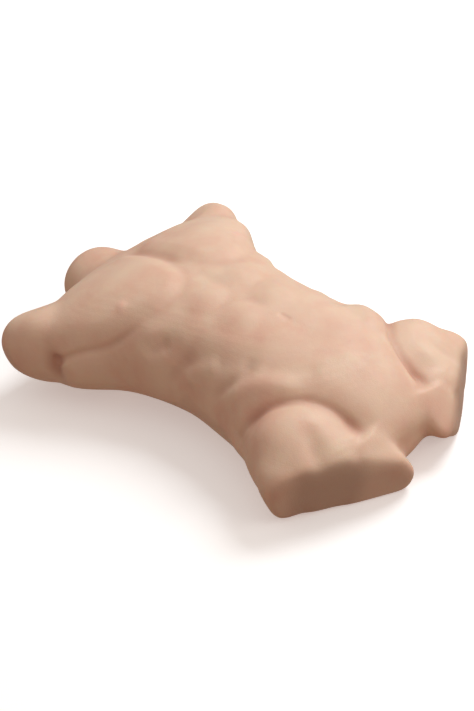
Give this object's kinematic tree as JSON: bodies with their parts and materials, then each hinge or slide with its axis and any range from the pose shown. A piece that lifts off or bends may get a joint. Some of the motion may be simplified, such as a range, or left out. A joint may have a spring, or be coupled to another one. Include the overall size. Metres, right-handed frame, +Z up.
{
  "type": "torso mannequin",
  "caption": "Headless soft-skinned male torso with stub arms, neck and thighs, lying on its back, over a foam core and a light tube armature.",
  "frame": {"origin": "on the floor, at the middle of the torso's footprint", "axes": "lying on its back: +Z up out of the chest, +Y towards the neck, +X to the body's left"},
  "size_m": [0.3784, 0.554, 0.1435],
  "materials": {
    "skin": "matte",
    "foam": "matte",
    "tube": "satin",
    "block": "matte",
    "plate": "matte",
    "insert": "matte",
    "steel": "brushed"
  },
  "bodies": {
    "root": {"skin": "skin", "core_front": "foam", "core_back": "foam", "spine_tube": "tube", "shoulder_bar": "tube", "hip_bar": "tube", "thigh_rod_left": "tube", "thigh_rod_right": "tube", "shoulder_block": "block", "hip_block": "block", "thigh_block_left": "block", "thigh_block_right": "block", "neck_plate": "plate", "arm_plate_left": "plate", "arm_plate_right": "plate", "thigh_plate_left": "plate", "thigh_plate_right": "plate", "end_inserts": "insert", "plate_screws": "steel", "plate_washers": "steel", "block_screws": "steel"}
  },
  "joints": []
}
